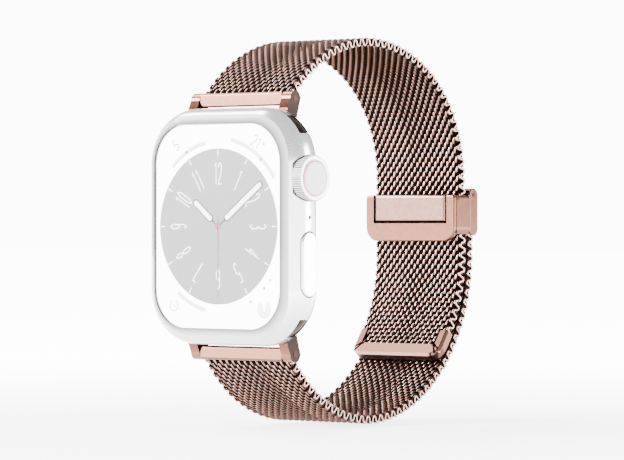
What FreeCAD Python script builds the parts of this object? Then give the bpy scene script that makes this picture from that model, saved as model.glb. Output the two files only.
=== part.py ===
import FreeCAD, Part
import math
import os
import re

import Sketcher
from FreeCAD import Placement, Rotation, Vector

# Smartwatch on a woven steel-mesh loop band with a fold-over clasp.
# Frame: millimetres, +Z towards 12 o'clock, the face looks along -Y, the crown is on +X.
# The origin is the top of the back crystal's dome, the point that touches the wrist.
# Every piece is drawn about the case's centre and moved by case_mid along Y into that frame.

DIMENSIONS = (
    ("case_mid", -5.5, "y of the case's mid-plane"),
    ("case_width", 38.0, "case, across X"),
    ("case_height", 45.0, "case, along Z"),
    ("case_depth", 10.0, "case without the back dome, along Y"),
    ("case_corner", 10.5, "outline corner radius"),
    ("case_rim", 4.9, "radius of the rounded side"),
    ("glass_width", 34.2, "front crystal outline, across X"),
    ("glass_height", 42.2, "front crystal outline, along Z"),
    ("glass_corner", 8.8, "front crystal corner radius"),
    ("glass_back", -3.28, "y where the crystal's rim ends"),
    ("glass_inner", -4.4, "y of the crystal's inner face"),
    ("seat_floor", -3.1, "y of the ledge under the crystal's rim"),
    ("screen_width", 31.3, "display panel, across X"),
    ("screen_height", 38.5, "display panel, along Z"),
    ("screen_corner", 7.4, "display panel corner radius"),
    ("hold_width", 30.8, "inner space, across X"),
    ("hold_height", 37.8, "front inner space, along Z"),
    ("hold_split", -1.6, "y where the space narrows to clear the band slots"),
    ("rear_height", 32.6, "rear inner space, along Z"),
    ("rear_floor", 3.5, "y of the rear wall's inner face"),
    ("cover_seat", 4.2, "y of the ledge under the back cover"),
    ("cover_width", 26.9, "back cover, across X"),
    ("cover_height", 26.9, "back cover, along Z"),
    ("cover_corner", 6.0, "back cover corner radius"),
    ("dome_radius", 12.45, "back crystal radius"),
    ("dome_rim", 4.95, "y where the dome begins"),
    ("dome_top", 5.5, "y of the dome's top"),
    ("crown_z", 9.0, "crown axis height"),
    ("crown_radius", 4.3, "crown wheel radius"),
    ("crown_teeth", 60, "grooves round the crown wheel"),
    ("crown_back", 18.25, "x of the crown wheel's back"),
    ("crown_face", 20.3, "x of the crown wheel's face"),
    ("crown_recess", 17.7, "x of the floor of the crown's recess"),
    ("stem_radius", 1.2, "crown stem radius"),
    ("bush_radius", 2.5, "hole for the crown's bush"),
    ("hollow_radius", 3.5, "radius of the hollow in the crown wheel's face"),
    ("hollow_depth", 0.95, "depth of that hollow"),
    ("groove_radius", 0.16, "radius of each groove round the crown wheel"),
    ("ring_rise", 0.12, "how far the coloured ring stands out of the crown wheel"),
    ("cap_rise", 0.28, "how far the crown's cap stands out of the wheel"),
    ("button_z", -7.1, "side button centre height"),
    ("button_length", 12.2, "side button, along Z"),
    ("button_breadth", 4.0, "side button, along Y"),
    ("button_gap", 0.18, "gap round the side button"),
    ("button_face", 19.15, "x of the side button's face"),
    ("button_seat", 15.0, "x of the floor of the side button's room"),
    ("mic_z", 1.7, "microphone hole height"),
    ("mic_radius", 0.4, "microphone hole radius"),
    ("release_z", 15.1, "distance of each band release button from the case's centre"),
    ("release_length", 7.0, "band release button, across X"),
    ("release_breadth", 1.7, "band release button, along Z"),
    ("slot_front", -1.0, "y where each band slot begins"),
    ("slot_inner", 17.4, "distance of each band slot's inner wall from the centre"),
    ("slot_outer", 20.8, "distance of each band slot's outer wall from the centre"),
    ("slot_mouth", 1.2, "y where the slot's mouth begins"),
    ("slide_gap", 0.08, "running gap of a band connector in its slot"),
    ("slot_back", 4.2, "y of the lip that closes each slot's back"),
    ("slot_lip", 1.2, "breadth of that lip"),
    ("lug_y", 3.6, "y of the lug pins"),
    ("lug_z", 24.1, "distance of the lug pins from the centre"),
    ("lug_radius", 1.5, "radius of an ear round its pin"),
    ("ear_inner", 10.3, "x where the ears begin"),
    ("ear_outer", 12.5, "x where the ears end"),
    ("ear_foot", 19.6, "distance of the ears' feet from the centre"),
    ("ear_foot_back", 3.8, "y of the back of an ear's foot"),
    ("bar_half", 1.35, "half thickness of the square end bar of each strap"),
    ("bar_rounding", 0.45, "its rounded edges"),
    ("flush_gap", 0.06, "how far a connector's end face lies behind the case's outer form"),
    ("lip_rise", 0.3, "how far the end bar's lip reaches outward of the pin's centre"),
    ("lip_drop", 1.0, "how far the end bar's lip reaches inward of the pin's centre"),
    ("bar_gap", 0.15, "gap between the end bar and each ear"),
    ("pin_radius", 0.6, "lug pin radius"),
    ("mesh_width", 21.8, "woven band width"),
    ("mesh_thick", 1.75, "woven band thickness"),
    ("mesh_lead", 1.75, "distance from a lug pin to the mesh's end"),
    ("mesh_shift", 0.35, "how far the mesh lies to the wrist side of its lug pin"),
    ("fold_gap", 0.5, "gap between two lengths of mesh at a fold"),
    ("upper_heading", 48.0, "direction in which the upper strap leaves its lug, degrees from +Y"),
    ("upper_bend_radius", 31.9, "upper strap, first bend"),
    ("upper_bend_turn", 81.5, "upper strap, first bend's turn in degrees"),
    ("lower_heading", 53.8, "direction in which the lower strap leaves its lug"),
    ("lower_bend_radius", 29.5, "lower strap, first bend"),
    ("lower_bend_turn", 66.2, "lower strap, first bend's turn"),
    ("inner_layer", 57.55, "y of the tail's centre line in the clasp"),
    ("outer_layer", 60.15, "y of the lower strap's centre line in the clasp"),
    ("tail_run", 2.6, "straight part of the tail below the clasp"),
    ("tail_bend_radius", 30.0, "bend of the tail inside the lower strap"),
    ("tail_length", 22.5, "length of that bend"),
    ("tail_split", 8.0, "fold of the tail below the clasp"),
    ("clasp_half", 11.35, "half width of the clasp"),
    ("clasp_wall", 0.35, "clasp side walls"),
    ("clasp_low_corner", 2.8, "radius of the clasp's lower corners"),
    ("clasp_high_corner", 0.7, "radius of the clasp's upper corners"),
    ("clasp_soft", 0.35, "rounded edge of the clasp's wrist side"),
    ("seam_front", 0.6, "distance of the groove in each side wall from the clasp's wrist side"),
    ("seam_width", 0.2, "width of that groove"),
    ("seam_depth", 0.15, "depth of that groove"),
    ("clasp_low", -2.95, "z of the clasp body's lower end"),
    ("clasp_high", 6.35, "z of the clasp body's upper end"),
    ("frame_front", 54.15, "y of the clasp's wrist side"),
    ("frame_plate", 0.9, "thickness of the clasp's window frame"),
    ("window_half", 9.3, "half width of the clasp's window"),
    ("window_low", 0.65, "z of the window's lower edge"),
    ("floor_in", 58.48, "y of the clasp floor's inner face"),
    ("floor_out", 58.98, "y of the clasp floor's outer face"),
    ("magnet_radius", 2.5, "clasp floor magnets"),
    ("magnet_z", 1.65, "z of the clasp floor magnets"),
    ("lever_gap", 0.35, "gap between the clamp lever and its window"),
    ("lever_rise", 0.1, "how far the clamp lever stands out of the frame"),
    ("lever_plate", 0.9, "thickness of the clamp lever's plate"),
    ("lever_bevel", 0.5, "rounded edge of that plate"),
    ("lever_knuckle", 0.7, "radius of the clamp lever round its pin"),
    ("lever_nose", 17.0, "breadth of the nose that grips the mesh"),
    ("lever_pin_y", 55.25, "y of the clamp lever's pin"),
    ("lever_pin_z", 5.65, "z of the clamp lever's pin"),
    ("lever_pin_radius", 0.35, "clamp lever's pin radius"),
    ("cover_front", 59.08, "y where the clasp cover's cheeks begin"),
    ("cover_plate_in", 61.22, "y of the cover plate's inner face"),
    ("cover_plate_out", 61.95, "y of the cover plate's outer face"),
    ("cover_low", -1.85, "z of the clasp cover's lower end"),
    ("cover_pin_y", 60.4, "y of the cover's pin"),
    ("cover_pin_z", 6.3, "z of the cover's pin"),
    ("cover_pin_radius", 0.4, "cover pin radius"),
    ("cover_ear", 1.34, "radius of the cover's cheeks round the pin"),
    ("cover_end", 1.35, "rounded ends of the cover's cheeks"),
    ("cover_soft", 0.3, "rounded outer edges of the cheeks"),
    ("cover_barrel", 0.78, "radius of the bar round the cover's pin"),
    ("cap_sheet", 0.25, "sheet thickness of the tail's end cap"),
    ("cap_band", 2.4, "how far the end cap reaches over the tail"),
    ("cap_wing", 6.0, "length of the end cap's side wings"),
    ("cap_wing_width", 1.8, "width of the end cap's side wings"),
)
# Blocks inside the case: spans in X, Y and Z about the case's centre.
INNER_BLOCKS = {
    "flex_top": ((-4, 4), (-3.35, -3.25), (-17, -14)),
    "flex_riser": ((-4, 4), (-3.3, -2.68), (-17, -16.8)),
    "flex_foot": ((-4, 4), (-2.75, -2.65), (-17, -15)),
    "chip_main": ((-9, 3), (-3.1, -2.5), (-6, 8)),
    "chip_radio": ((5, 11), (-3.1, -2.5), (-8, -1)),
    "chip_power": ((5, 10), (-3.1, -2.5), (2, 7)),
    "cell_box": ((-14, 9), (-1.5, 2.2), (-9, 6)),
    "motor_box": ((-13, 11), (-1.5, 2.2), (6.6, 13.6)),
    "motor_room": ((-12.5, 10.5), (-1.0, 1.7), (7.1, 13.1)),
    "mass_box": ((-10.2, 8.2), (-0.7, 1.4), (7.4, 12.8)),
    "speaker_box": ((-14.2, -3), (-1.5, 2.0), (-15.0, -9.8)),
}
UPPER_FOLDS = 4
LOWER_FOLDS = 5
MAGNET_PLACES = (-7, 0, 7)
ALONG_X = Rotation(Vector(0, 1, 0), 90)
ALONG_Y = Rotation(Vector(1, 0, 0), -90)

doc = FreeCAD.newDocument("smartwatch")
sheet = doc.addObject("Spreadsheet::Sheet", "Dimensions")
for row, (alias, value, note) in enumerate(DIMENSIONS, start=1):
    sheet.set(f"A{row}", alias)
    sheet.set(f"B{row}", str(value))
    sheet.set(f"C{row}", note)
    sheet.setAlias(f"B{row}", alias)
doc.recompute()

ALIASES = re.compile(r"\b(" + "|".join(alias for alias, _, _ in DIMENSIONS) + r")\b")
nodes = []


def dim(alias):
    """A driving dimension's value, read from the sheet."""
    return float(getattr(sheet, alias))


def bind(obj, prop, expression):
    """Drives a property by an expression written with the sheet's aliases."""
    obj.setExpression(prop, ALIASES.sub(r"Dimensions.\1", str(expression)))


def both(expression):
    """The span of a size centred on zero."""
    return f"-({expression})/2", f"({expression})/2"


# Primitives, booleans and fillets ------------------------------------------------------------

def inner(name):
    """One of the blocks inside the case."""
    return block(name, *((str(low), str(high)) for low, high in INNER_BLOCKS[name]))


def block(name, x, y, z):
    """A box from spans, each a pair of expressions about the case's centre."""
    box = doc.addObject("Part::Box", name)
    for prop, (low, high) in zip(("Length", "Width", "Height"), (x, y, z)):
        bind(box, prop, f"({high}) - ({low})")
    bind(box, "Placement.Base.x", x[0])
    bind(box, "Placement.Base.y", f"case_mid + ({y[0]})")
    bind(box, "Placement.Base.z", z[0])
    return box


def rod(name, axis, radius, span, first, second):
    """A cylinder along X or Y over a span; first and second are its other two coordinates, in order."""
    cylinder = doc.addObject("Part::Cylinder", name)
    bind(cylinder, "Radius", radius)
    bind(cylinder, "Height", f"({span[1]}) - ({span[0]})")
    x, y, z = (span[0], first, second) if axis == "x" else (first, span[0], second)
    cylinder.Placement = Placement(Vector(), ALONG_X if axis == "x" else ALONG_Y)
    bind(cylinder, "Placement.Base.x", x)
    bind(cylinder, "Placement.Base.y", f"case_mid + ({y})")
    bind(cylinder, "Placement.Base.z", z)
    return cylinder


def cut(name, base, *tools):
    """base without the tools."""
    boolean = doc.addObject("Part::Cut", name)
    boolean.Base = base
    boolean.Tool = tools[0] if len(tools) == 1 else fuse(f"{name}_tools", *tools)
    return boolean


def fuse(name, *parts):
    """The union of parts."""
    boolean = doc.addObject("Part::MultiFuse", name)
    boolean.Shapes = list(parts)
    return boolean


def common(name, *parts):
    """What the parts share."""
    boolean = doc.addObject("Part::MultiCommon", name)
    boolean.Shapes = list(parts)
    return boolean


def runs_along(direction):
    """Picks straight edges in one direction."""
    def pick(edge):
        straight = edge.Curve.TypeId == "Part::GeomLine"
        return straight and abs(edge.tangentAt(edge.FirstParameter).dot(direction)) > 0.99
    return pick


def lies_across(direction, place=None):
    """Picks edges in planes square to a direction, all of them or those at one place along it."""
    def pick(edge):
        ends = [edge.BoundBox.getPoint(i).dot(direction) for i in (0, 6)]
        flat = abs(ends[0] - ends[1]) < 1e-3
        return flat and (place is None or abs(ends[0] - place) < 1e-2)
    return pick


def rounded(name, base, radius, *picks):
    """base with the edges that every pick accepts rounded to a radius in millimetres."""
    doc.recompute()
    fillet = doc.addObject("Part::Fillet", name)
    fillet.Base = base
    fillet.Edges = [
        (number, radius, radius)
        for number, edge in enumerate(base.Shape.Edges, start=1)
        if all(pick(edge) for pick in picks)
    ]
    return fillet


def tile(name, width, height, corner, y):
    """A plate with rounded corners facing Y; its width and height are centred on the case."""
    plate = block(f"{name}_plate", both(width), y, both(height))
    return rounded(name, plate, corner, runs_along(Vector(0, 1, 0)))


def solid(name, shape):
    """A shape made with Part's own functions, moved into the frame."""
    feature = doc.addObject("Part::Feature", name)
    feature.Shape = shape
    feature.Placement = Placement(Vector(0, dim("case_mid"), 0), Rotation())
    return feature


def node(label, obj):
    """Keeps a finished piece under its node's name."""
    obj.Label = label
    nodes.append(obj)
    return obj


# Case, crystals and what they hold -------------------------------------------------------------

def envelope(name, shrink=0.0):
    """The watch's outer form: a soft-cornered block whose sides are fully rounded."""
    corner = dim("case_corner") - shrink
    slab = tile(f"{name}_slab", f"case_width - {2 * shrink}", f"case_height - {2 * shrink}", corner,
                both("case_depth"))
    return rounded(name, slab, dim("case_rim"), lies_across(Vector(0, 1, 0)))


def band_slot(side, gap):
    """The channel and mouth of one band slot, across the whole case, shrunk by gap on every wall."""
    low, high = f"slot_inner + {gap}", f"slot_outer - {gap}"
    tag = f"{'upper' if side > 0 else 'lower'}_slot_{'room' if gap == 0 else 'fill'}"

    def reach(near, beyond):
        return (near, beyond) if side > 0 else (f"-({beyond})", f"-({near})")
    across = both("case_width + 2")
    channel = block(f"{tag}_channel", across, (f"slot_front + {gap}", f"slot_back - {gap}"), reach(low, high))
    mouth = block(f"{tag}_mouth", across, (f"slot_mouth + {gap}", "5.6"),
                  reach(f"slot_inner + slot_lip + {gap}", "24"))
    return fuse(tag, channel, mouth)


def case():
    """The metal case: seats for both crystals, the inner space, band slots and side openings."""
    front_seat = tile("front_seat", "glass_width + 0.1", "glass_height + 0.1", dim("glass_corner") + 0.05,
                      ("-6", "seat_floor"))
    front_hold = tile("front_hold", "hold_width", "hold_height", 7.0, ("seat_floor - 0.1", "hold_split"))
    rear_hold = tile("rear_hold", "hold_width", "rear_height", 4.0, ("hold_split - 0.1", "rear_floor"))
    rear_window = tile("rear_window", "cover_width - 1.3", "cover_height - 1.3", 5.4, ("3", "5"))
    cover_seat = tile("cover_seat_room", "cover_width + 0.1", "cover_height + 0.1",
                      dim("cover_corner") + 0.05, ("cover_seat", "6"))
    crown_room = rod("crown_room", "x", "crown_radius + 0.15", ("crown_recess", "22"), "0", "crown_z")
    bush_hole = rod("bush_hole", "x", "bush_radius", ("15", "18"), "0", "crown_z")
    button_room = pill("button_room", "button_length + 2 * button_gap", "button_breadth + 2 * button_gap",
                       ("button_seat", "21"), "button_z")
    mic_hole = rod("mic_hole", "x", "mic_radius", ("15", "20"), "0", "mic_z")
    speaker_holes = [
        pill(f"speaker_hole_{number}", "4.4", "0.9", ("-20", "-15"), place)
        for number, place in enumerate(("-13.2", "-7.6"), start=1)
    ]
    releases = [
        release_pill(f"release_room_{number}", side, "0.06", ("3", "6"))
        for number, side in enumerate((1, -1), start=1)
    ]
    slots = [band_slot(side, 0) for side in (1, -1)]
    return cut("case_body", envelope("case_form"), front_seat, front_hold, rear_hold, rear_window, cover_seat,
               crown_room, bush_hole, button_room, mic_hole, *speaker_holes, *releases, *slots)


def pill(name, length, breadth, x, z):
    """A pill-shaped plug along X, long in Z."""
    bar = block(f"{name}_bar", x, both(breadth), (f"{z} - ({length})/2", f"{z} + ({length})/2"))
    doc.recompute()
    return rounded(name, bar, float(bar.Width) / 2 - 0.01, runs_along(Vector(1, 0, 0)))


def release_pill(name, side, gap, y):
    """A pill-shaped plug along Y, long in X: a band release button or its hole."""
    centre = f"{side} * release_z"
    half = f"(release_breadth / 2 + {gap})"
    bar = block(f"{name}_bar", both(f"release_length + 2 * {gap}"), y,
                (f"{centre} - {half}", f"{centre} + {half}"))
    doc.recompute()
    return rounded(name, bar, float(bar.Height) / 2 - 0.01, runs_along(Vector(0, 1, 0)))


def front_crystal():
    """The curved front crystal, part of the outer form, hollowed for the display."""
    outline = tile("glass_outline", "glass_width", "glass_height", dim("glass_corner"), ("-6", "glass_back"))
    pocket = tile("glass_pocket", "screen_width + 0.2", "screen_height + 0.2", dim("screen_corner") + 0.1,
                  ("glass_inner", "-3"))
    return cut("glass_body", common("glass_form", envelope("glass_envelope"), outline), pocket)


def back_crystal():
    """A disc whose wrist side is a shallow dome: a cylinder within a large sphere."""
    disc = rod("dome_disc", "y", "dome_radius", ("4.15", "dome_top + 1"), "0", "0")
    ball = doc.addObject("Part::Sphere", "dome_ball")
    curve = "((dome_radius ^ 2 + (dome_top - dome_rim) ^ 2) / (2 * (dome_top - dome_rim)))"
    bind(ball, "Radius", curve)
    bind(ball, "Placement.Base.y", f"case_mid + dome_top - {curve}")
    return common("dome", disc, ball)


def ring(name, outer, inner, y):
    """A flat ring facing Y, about the case's centre."""
    disc = rod(f"{name}_disc", "y", outer, y, "0", "0")
    return cut(name, disc, rod(f"{name}_hole", "y", inner, ("-9", "9"), "0", "0"))


def gasket(name, width, height, corner, rib, y):
    """A frame-shaped gasket facing Y, rib wide."""
    outer = tile(f"{name}_outer", width, height, corner, y)
    inner = tile(f"{name}_inner", f"{width} - {2 * rib}", f"{height} - {2 * rib}", corner - rib, ("-9", "9"))
    return cut(name, outer, inner)


def make_case():
    node("case", case())
    node("front_crystal", front_crystal())
    node("crystal_gasket", gasket("front_gasket", "glass_width - 0.3", "glass_height - 0.3", 8.6, 1.2,
                                  ("-3.25", "-3.12")))
    screen = tile("screen", "screen_width", "screen_height", dim("screen_corner"), ("-4.35", "-3.4"))
    node("display_panel", screen)
    node("display_flex", fuse("flex", *(inner(name) for name in INNER_BLOCKS if name.startswith("flex"))))
    board = tile("board", "hold_width - 1.2", "hold_height - 1.2", 6.2, ("-2.6", "-1.8"))
    chips = [inner(name) for name in INNER_BLOCKS if name.startswith("chip")]
    node("logic_board", fuse("board_with_chips", board, *chips))
    node("battery", rounded("cell", inner("cell_box"), 1.0, runs_along(Vector(0, 1, 0))))
    node("haptic_housing", cut("motor_shell", inner("motor_box"), inner("motor_room")))
    node("haptic_mass", rounded("motor_mass", inner("mass_box"), 0.5, runs_along(Vector(1, 0, 0))))
    node("speaker", rounded("speaker_shell", inner("speaker_box"), 0.8, runs_along(Vector(0, 1, 0))))
    node("microphone", rod("mic_can", "x", "1.2", ("14.1", "15.2"), "0", "mic_z"))
    cover_blank = tile("cover_blank", "cover_width", "cover_height", dim("cover_corner"),
                       ("cover_seat + 0.12", "5"))
    dome_hole = rod("dome_hole", "y", "dome_radius + 0.05", ("3", "6"), "0", "0")
    node("back_cover", cut("cover_ring", cover_blank, dome_hole))
    node("back_gasket", gasket("rear_gasket", "cover_width - 0.1", "cover_height - 0.1", 5.9, 0.5,
                               ("cover_seat + 0.01", "cover_seat + 0.11")))
    node("back_crystal", back_crystal())
    node("sensor_board", rod("sensor_disc", "y", "11.6", ("3.3", "4.05"), "0", "0"))
    node("charging_coil", ring("coil_ring", "10.8", "5.5", ("2.4", "3.2")))
    node("alignment_magnet", rod("magnet_disc", "y", "3.4", ("2.4", "3.2"), "0", "0"))


# Crown, side button and band release buttons -----------------------------------------------------

def crown_wheel():
    """The knurled wheel: a turned disc, its face hollowed for the cap, with grooves in a ring."""
    body = doc.addObject("PartDesign::Body", "wheel_body")
    plane = next(f for f in body.Origin.OriginFeatures if f.Role == "YZ_Plane")
    axis = next(f for f in body.Origin.OriginFeatures if f.Role == "X_Axis")

    def circle_sketch(name, radius, centre=None):
        sketch = body.newObject("Sketcher::SketchObject", name)
        sketch.AttachmentSupport = [(plane, "")]
        sketch.MapMode = "FlatFace"
        place = Vector(dim(centre), 0, 0) if centre else Vector()
        number = sketch.addGeometry(Part.Circle(place, Vector(0, 0, 1), 1.0), False)
        size = sketch.addConstraint(Sketcher.Constraint("Radius", number, 1.0))
        bind(sketch, f"Constraints[{size}]", radius)
        if centre:
            across = sketch.addConstraint(Sketcher.Constraint("DistanceX", -1, 1, number, 3, place.x))
            bind(sketch, f"Constraints[{across}]", centre)
            sketch.addConstraint(Sketcher.Constraint("PointOnObject", number, 3, -1))
        else:
            sketch.addConstraint(Sketcher.Constraint("Coincident", number, 3, -1, 1))
        return sketch

    disc = body.newObject("PartDesign::Pad", "wheel_disc")
    disc.Profile = circle_sketch("wheel_outline", "crown_radius")
    bind(disc, "Length", "crown_face - crown_back")
    hollow_outline = circle_sketch("hollow_outline", "hollow_radius")
    bind(hollow_outline, "AttachmentOffset.Base.z", "crown_face - crown_back - hollow_depth")
    hollow = body.newObject("PartDesign::Pocket", "wheel_hollow")
    hollow.Profile = hollow_outline
    hollow.Reversed = True
    hollow.Type = "ThroughAll"
    doc.recompute()
    groove = body.newObject("PartDesign::Pocket", "wheel_groove")
    groove.Profile = circle_sketch("groove_outline", "groove_radius", "crown_radius")
    groove.Reversed = True
    groove.Type = "ThroughAll"
    pattern = body.newObject("PartDesign::PolarPattern", "wheel_grooves")
    pattern.Originals = [groove]
    pattern.Axis = (axis, [""])
    pattern.Angle = 360
    bind(pattern, "Occurrences", "crown_teeth")
    body.Tip = pattern
    bind(body, "Placement.Base.x", "crown_back")
    bind(body, "Placement.Base.y", "case_mid")
    bind(body, "Placement.Base.z", "crown_z")
    return body


def crown_rod(name, radius, x):
    return rod(name, "x", radius, x, "0", "crown_z")


def crown_ring(name, outer, inner, x):
    return cut(name, crown_rod(f"{name}_disc", outer, x), crown_rod(f"{name}_hole", inner, ("10", "25")))


def make_crown():
    node("crown_wheel", crown_wheel())
    node("crown_ring", crown_ring("accent", "hollow_radius - 0.04", "hollow_radius - 0.3",
                                  ("crown_face - 0.9", "crown_face + ring_rise")))
    cap = crown_rod("cap_blank", "hollow_radius - 0.34", ("crown_face - 0.9", "crown_face + cap_rise"))
    cap_face = dim("crown_face") + dim("cap_rise")
    node("crown_cap", rounded("cap", cap, 0.2, lies_across(Vector(1, 0, 0), cap_face)))
    node("crown_stem", crown_rod("stem", "stem_radius", ("14.6", "crown_back - 0.02")))
    node("crown_bush", crown_ring("bush", "bush_radius - 0.02", "stem_radius + 0.06",
                                  ("15.42", "crown_recess - 0.02")))
    node("crown_seal", crown_ring("seal", "3.6", "stem_radius + 0.3",
                                  ("crown_recess + 0.02", "crown_recess + 0.2")))
    node("crown_plunger", crown_rod("plunger", "1.7", ("14.25", "14.55")))
    node("crown_switch", block("switch_box", ("12.2", "13.85"), both("3"), ("crown_z - 1.5", "crown_z + 1.5")))


def make_buttons():
    plug = pill("button_plug", "button_length", "button_breadth", ("16.2", "button_face"), "button_z")
    node("side_button", rounded("button_soft", plug, 0.3, lies_across(Vector(1, 0, 0), dim("button_face"))))
    seal_outer = pill("button_seal_outer", "button_length + 0.1", "button_breadth + 0.1",
                      ("button_seat + 0.5", "button_seat + 0.8"), "button_z")
    seal_inner = pill("button_seal_inner", "button_length - 2", "button_breadth - 2", ("15", "17"), "button_z")
    node("side_button_seal", cut("button_seal", seal_outer, seal_inner))
    node("side_button_switch", block("button_switch", ("14.0", "15.7"), both("1.6"),
                                     ("button_z - 2", "button_z + 2")))
    pads = []
    for name, side in (("upper", 1), ("lower", -1)):
        button = release_pill(f"{name}_release_plug", side, "0", ("3.95", "5.1"))
        node(f"{name}_release_button", rounded(f"{name}_release_soft", button, 0.2,
                                               lies_across(Vector(0, 1, 0), 5.1 + dim("case_mid"))))
        pads.append(release_pill(f"{name}_release_pad", side, "-0.3", ("2.6", "3.6")))
    node("release_pads", fuse("pads", *pads))


# Band connectors and lugs ------------------------------------------------------------------------

def prism(name, outline, side, low_x, high_x):
    """A solid along X with an outline of (y, distance from the centre along Z) corners."""
    corners = [Vector(low_x, y, side * z) for y, z in outline]
    return solid(name, Part.Face(Part.makePolygon(corners + corners[:1])).extrude(Vector(high_x - low_x, 0, 0)))


def connector(name, side):
    """The bar that slides in a band slot, flush with the case, with two leaning ears for the lug pin."""
    filling = common(f"{name}_flush", band_slot(side, dim("slide_gap")),
                     envelope(f"{name}_envelope", dim("flush_gap")))
    pin_z = f"{side} * lug_z"
    front, back = dim("lug_y") - dim("lug_radius"), dim("lug_y") + dim("lug_radius")
    foot_front = dim("slot_mouth") + dim("slide_gap")
    shoulder = dim("case_height") / 2 - 0.2
    outline = ((front, dim("lug_z")), (back, dim("lug_z")), (dim("ear_foot_back"), dim("ear_foot")),
               (foot_front, dim("ear_foot")), (foot_front, shoulder))
    ears = []
    for tag, hand in (("left", -1), ("right", 1)):
        x = ("ear_inner", "ear_outer") if hand > 0 else ("-ear_outer", "-ear_inner")
        low_x, high_x = sorted((hand * dim("ear_inner"), hand * dim("ear_outer")))
        ears += [
            prism(f"{name}_{tag}_post", outline, side, low_x, high_x),
            rod(f"{name}_{tag}_eye", "x", "lug_radius", x, "lug_y", pin_z),
        ]
    hole = rod(f"{name}_hole", "x", "pin_radius + 0.01", ("-15", "15"), "lug_y", pin_z)
    bay_z = ("ear_foot", "26") if side > 0 else ("-26", "-ear_foot")
    bay = block(f"{name}_bay", both("2 * ear_inner"), ("slot_mouth", "7"), bay_z)
    return cut(f"{name}_body", fuse(f"{name}_form", filling, *ears), hole, bay)


def end_bar(name, side, heading):
    """The square bar between the ears, with a lip that the mesh is welded to and a bore for the lug pin."""
    pin_z = f"{side} * lug_z"
    half_length = dim("ear_inner") - dim("bar_gap")
    square = block(f"{name}_square", both("2 * (ear_inner - bar_gap)"),
                   ("lug_y - bar_half", "lug_y + bar_half"), (f"{pin_z} - bar_half", f"{pin_z} + bar_half"))
    bar = rounded(f"{name}_bar", square, dim("bar_rounding"), runs_along(Vector(1, 0, 0)))
    reach, rise, drop = dim("mesh_lead") - 0.05, dim("lip_rise"), -dim("lip_drop")
    y, z = dim("lug_y"), dim("lug_z")
    run, lift = math.cos(math.radians(heading)), math.sin(math.radians(heading))
    outline = [(y + along * run - out * lift, z + along * lift + out * run)
               for along, out in ((0, rise), (reach, rise), (reach, drop), (0, drop))]
    lip = prism(f"{name}_lip", outline, side, -half_length, half_length)
    bore = rod(f"{name}_bore", "x", "pin_radius + 0.05", ("-15", "15"), "lug_y", pin_z)
    return cut(f"{name}_body", fuse(f"{name}_form", bar, lip), bore)


def make_lugs():
    for name, side in (("upper", 1), ("lower", -1)):
        node(f"{name}_connector", connector(f"{name}_slider", side))
        pin_x = ("-ear_outer - 0.05", "ear_outer + 0.05")
        node(f"{name}_lug_pin", rod(f"{name}_pin", "x", "pin_radius", pin_x, "lug_y", f"{side} * lug_z"))
        node(f"{name}_end_bar", end_bar(f"{name}_bar", side, dim(f"{name}_heading")))


# Mesh straps ---------------------------------------------------------------------------------------

class StrapLine:
    """A strap's centre line in the Y-Z plane: tangent bends and runs, drawn with Z away from the
    watch's centre, so that side -1 mirrors it for the lower strap. Headings are degrees from +Y."""

    def __init__(self, y, z, heading, side):
        self.side = side
        self.length = 0.0
        self.pieces = []
        self.end = (y, z, heading)

    def add(self, length, radius):
        """Goes on for a length, bending towards the wrist at a radius, or straight if it is None."""
        self.pieces.append((self.length, length, radius, self.end))
        self.length += length
        self.end = self.state(self.length)
        return self

    def bend(self, radius, turn):
        return self.add(radius * math.radians(turn), radius)

    def state(self, place):
        """(y, z, heading) at a distance along the line."""
        begin, _, radius, (y, z, heading) = [p for p in self.pieces if p[0] <= place + 1e-9][-1]
        along, angle = place - begin, math.radians(heading)
        if radius is None:
            return y + along * math.cos(angle), z + along * math.sin(angle), heading
        after = angle - along / radius
        return (y + radius * (math.sin(angle) - math.sin(after)),
                z + radius * (math.cos(after) - math.cos(angle)), math.degrees(after))

    def point(self, place, out=0.0):
        """A point out from the line, away from the wrist."""
        y, z, heading = self.state(place)
        angle = math.radians(heading)
        return Vector(0, y - out * math.sin(angle), self.side * (z + out * math.cos(angle)))

    def edges(self, begin, end, out):
        """The edges of the line moved out, between two places."""
        found = []
        for first, length, radius, _ in self.pieces:
            low, high = max(begin, first), min(end, first + length)
            if high - low < 1e-6:
                continue
            a, b = self.point(low, out), self.point(high, out)
            middle = self.point((low + high) / 2, out)
            curve = Part.LineSegment(a, b) if radius is None else Part.Arc(a, middle, b)
            found.append(curve.toShape())
        return found

    def slab(self, begin, end, inner, outer, low_x, high_x):
        """A solid along the line, between two offsets and two places across."""
        far, near = self.edges(begin, end, outer), self.edges(begin, end, inner)
        caps = [Part.LineSegment(self.point(place, inner), self.point(place, outer)).toShape()
                for place in (begin, end)]
        face = Part.Face(Part.Wire(Part.__sortEdges__(far + near + caps)))
        face.translate(Vector(low_x, 0, 0))
        return face.extrude(Vector(high_x - low_x, 0, 0))


def strap_line(heading, radius, turn, layer, side):
    """A strap from its lug, round two bends, to where it runs straight into the clasp at y = layer."""
    angle = math.radians(heading)
    lead, shift = dim("mesh_lead"), dim("mesh_shift")
    y = dim("lug_y") + lead * math.cos(angle) + shift * math.sin(angle)
    z = dim("lug_z") + lead * math.sin(angle) - shift * math.cos(angle)
    line = StrapLine(y, z, heading, side)
    line.bend(radius, turn)
    y, _, heading = line.end
    line.bend((layer - y) / (1 + math.sin(math.radians(heading))), heading + 90)
    return line


def mesh_slab(line, begin, end):
    half, thick = dim("mesh_width") / 2, dim("mesh_thick") / 2
    return line.slab(begin, end, -thick, thick, -half, half)


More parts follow.
